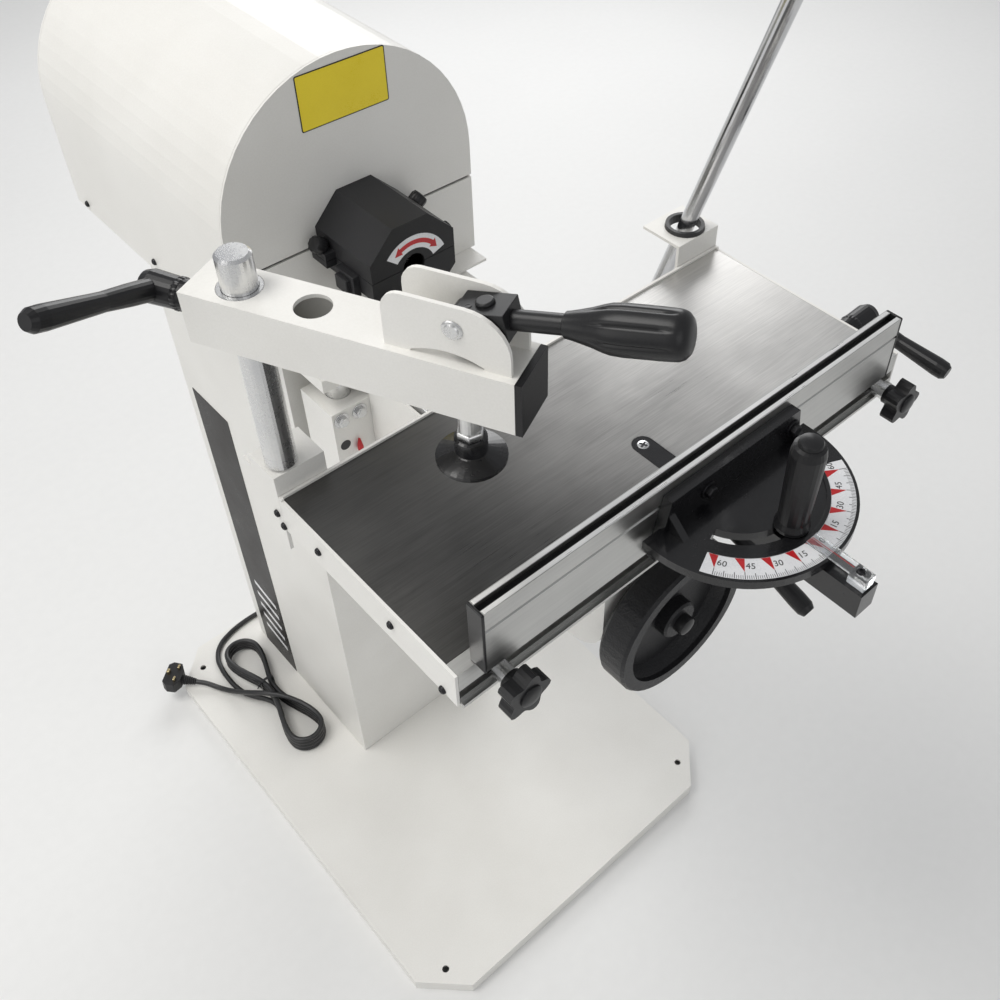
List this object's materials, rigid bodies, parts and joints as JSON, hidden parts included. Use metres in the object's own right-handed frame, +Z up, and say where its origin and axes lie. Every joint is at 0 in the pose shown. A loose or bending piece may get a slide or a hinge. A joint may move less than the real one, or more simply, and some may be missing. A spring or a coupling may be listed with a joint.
{
  "type": "slot mortiser",
  "caption": "Free-standing horizontal slot mortiser: guarded chuck under an arched motor hood, cross-slide table with clamp, fence, mitre gauge, joystick rod and height handwheel.",
  "frame": {"origin": "middle of the base tray's footprint, on the floor", "axes": "+Z up, +X along the table to the operator's right, +Y away from the operator towards the motor"},
  "size_m": [0.6652, 0.955, 1.2635],
  "materials": {
    "white_paint": "satin warm-white powder coat",
    "grey_casting": "painted casting",
    "black_plastic": "moulded black plastic",
    "black_casting": "gloss black painted casting",
    "bright_steel": "zinc-plated or bright-drawn steel",
    "ground_steel": "ground and oiled",
    "aluminium": "clear anodised extrusion",
    "black_rubber": "black flexible rubber",
    "clear_plastic": "clear moulded plastic"
  },
  "bodies": {
    "stand": {"base_tray": "white_paint", "column_shell": "white_paint", "deck_plate": "white_paint", "hood_shell": "white_paint", "hood_front_panel": "white_paint", "lower_front_panel": "white_paint", "hood_rear_panel": "white_paint", "motor_body": "grey_casting", "guard_lower": "black_plastic", "leadscrew": "bright_steel", "guide_rod_left": "bright_steel", "guide_rod_right": "bright_steel", "electrics_box": "black_plastic", "cord_gland": "black_rubber", "power_cord": "black_rubber", "cord_hank": "black_rubber", "cord_tail": "black_rubber", "plug": "black_plastic"},
    "spindle": {"spindle_shaft": "bright_steel", "chuck": "bright_steel"},
    "guard_top": {"guard_upper": "black_plastic"},
    "knee": {"knee_box": "white_paint", "knee_front_plate": "black_casting", "knee_carriage": "grey_casting", "y_rod_left": "bright_steel", "y_rod_right": "bright_steel", "joystick_bracket": "white_paint"},
    "lift_nut": {"lift_nut": "bright_steel"},
    "wheel": {"handwheel": "black_plastic", "wheel_shaft": "bright_steel"},
    "height_lock": {"height_lock_lever": "black_plastic"},
    "saddle": {"saddle_body": "grey_casting"},
    "table": {"table_plate": "ground_steel", "table_apron": "white_paint", "front_rail": "aluminium", "x_rod_front": "bright_steel", "x_rod_rear": "bright_steel", "mitre_bar": "black_casting", "mitre_pointer": "clear_plastic", "clamp_post": "bright_steel", "post_bracket": "white_paint", "rod_bracket": "white_paint", "rod_grommet": "black_rubber"},
    "table_lock": {"table_lock_lever": "black_plastic"},
    "stick_yoke": {"joystick_yoke": "bright_steel"},
    "stick": {"joystick_rod": "bright_steel"},
    "arm_bush": {"arm_bush": "bright_steel"},
    "arm": {"clamp_arm": "white_paint", "arm_end_cap": "black_plastic"},
    "arm_lock": {"arm_lock_lever": "black_plastic"},
    "cam": {"cam_lever": "black_plastic"},
    "plunger": {"clamp_spindle": "bright_steel", "clamp_foot": "black_plastic"},
    "mitre": {"mitre_head": "black_casting"},
    "mitre_lock": {"mitre_knob": "black_plastic"},
    "fence": {"fence": "aluminium"},
    "stop_left": {"stop_left": "bright_steel"},
    "stop_right": {"stop_right": "bright_steel"},
    "stop_knob_left": {"stop_knob_left": "black_plastic"},
    "stop_knob_right": {"stop_knob_right": "black_plastic"}
  },
  "joints": [
    {"name": "knee_lift", "type": "slide", "parent": "stand", "child": "knee", "axis": [0, 0, 1], "range_m": [-0.1, 0.02]},
    {"name": "wheel_turn", "type": "hinge", "parent": "knee", "child": "wheel", "pos_m": [0, -0.4295, 0.6915], "axis": [0, 1, 0], "range_deg": [-1450, 7210]},
    {"name": "nut_turn", "type": "hinge", "parent": "knee", "child": "lift_nut", "pos_m": [0, -0.033, 0.6915], "axis": [0, 0, 1], "range_deg": [-7210, 1450]},
    {"name": "height_lock_turn", "type": "hinge", "parent": "knee", "child": "height_lock", "pos_m": [0.0623, -0.374, 0.735], "axis": [1, 0, 0], "range_deg": [-25, 70]},
    {"name": "saddle_slide", "type": "slide", "parent": "knee", "child": "saddle", "axis": [0, 1, 0], "range_m": [0, 0.09]},
    {"name": "table_slide", "type": "slide", "parent": "saddle", "child": "table", "axis": [1, 0, 0], "range_m": [-0.09, 0.09]},
    {"name": "stick_tilt_y", "type": "hinge", "parent": "knee", "child": "stick_yoke", "pos_m": [0.234, -0.1017, 0.6], "axis": [1, 0, 0], "range_deg": [-19, 1]},
    {"name": "stick_tilt_x", "type": "hinge", "parent": "stick_yoke", "child": "stick", "pos_m": [0.234, -0.1017, 0.6], "axis": [0, 0.9508, 0.3099], "range_deg": [-18.5, 18.5]},
    {"name": "table_lock_turn", "type": "hinge", "parent": "table", "child": "table_lock", "pos_m": [0.2603, -0.366, 0.834], "axis": [1, 0, 0], "range_deg": [-60, 60]},
    {"name": "arm_height", "type": "slide", "parent": "table", "child": "arm_bush", "axis": [0, 0, 1], "range_m": [-0.075, 0.02]},
    {"name": "arm_swivel", "type": "hinge", "parent": "arm_bush", "child": "arm", "pos_m": [-0.225, -0.198, 0.9957], "axis": [0, 0, 1], "range_deg": [-40, 20]},
    {"name": "arm_lock_turn", "type": "hinge", "parent": "arm", "child": "arm_lock", "pos_m": [-0.24053, -0.16673, 1.0167], "axis": [-0.4366, 0.8997, 0], "range_deg": [-40, 40]},
    {"name": "cam_turn", "type": "hinge", "parent": "arm", "child": "cam", "pos_m": [-0.15396, -0.34513, 1.063], "axis": [-0.8997, -0.4366, 0], "range_deg": [0, 75]},
    {"name": "plunger_slide", "type": "slide", "parent": "arm", "child": "plunger", "axis": [0, 0, 1], "range_m": [0, 0.004]},
    {"name": "mitre_turn", "type": "hinge", "parent": "table", "child": "mitre", "pos_m": [0.0106, -0.45, 0.8503], "axis": [0, 0, -1], "range_deg": [-60, 60]},
    {"name": "mitre_lock_turn", "type": "hinge", "parent": "table", "child": "mitre_lock", "pos_m": [0.0106, -0.502, 0.878], "axis": [0, 0, 1], "range_deg": [0, 180]},
    {"name": "fence_slide", "type": "slide", "parent": "mitre", "child": "fence", "axis": [1, 0, 0], "range_m": [-0.02, 0.02]},
    {"name": "stop_left_slide", "type": "slide", "parent": "table", "child": "stop_left", "axis": [1, 0, 0], "range_m": [-0.02, 0.09]},
    {"name": "stop_right_slide", "type": "slide", "parent": "table", "child": "stop_right", "axis": [1, 0, 0], "range_m": [-0.09, 0.01]},
    {"name": "stop_knob_left_turn", "type": "hinge", "parent": "stop_left", "child": "stop_knob_left", "pos_m": [-0.203, -0.4384, 0.8265], "axis": [0, 1, 0], "range_deg": [0, 180]},
    {"name": "stop_knob_right_turn", "type": "hinge", "parent": "stop_right", "child": "stop_knob_right", "pos_m": [0.234, -0.4384, 0.8265], "axis": [0, 1, 0], "range_deg": [0, 180]},
    {"name": "guard_hinge", "type": "hinge", "parent": "stand", "child": "guard_top", "pos_m": [0.0583, 0, 0.877], "axis": [0, 1, 0], "range_deg": [0, 100]},
    {"name": "spindle_spin", "type": "hinge", "parent": "stand", "child": "spindle", "pos_m": [0, 0, 0.877], "axis": [0, 1, 0], "continuous": true}
  ],
  "couplings": [
    {"joint": "wheel_turn", "follows": "knee_lift", "rad_per_m": -1256.6},
    {"joint": "nut_turn", "follows": "knee_lift", "rad_per_m": 1256.6},
    {"joint": "stick_tilt_y", "follows": "saddle_slide", "rad_per_m": -3.555},
    {"joint": "stick_tilt_x", "follows": "table_slide", "rad_per_m": 3.469},
    {"joint": "plunger_slide", "follows": "cam_turn", "m_per_rad": 0.00283}
  ]
}
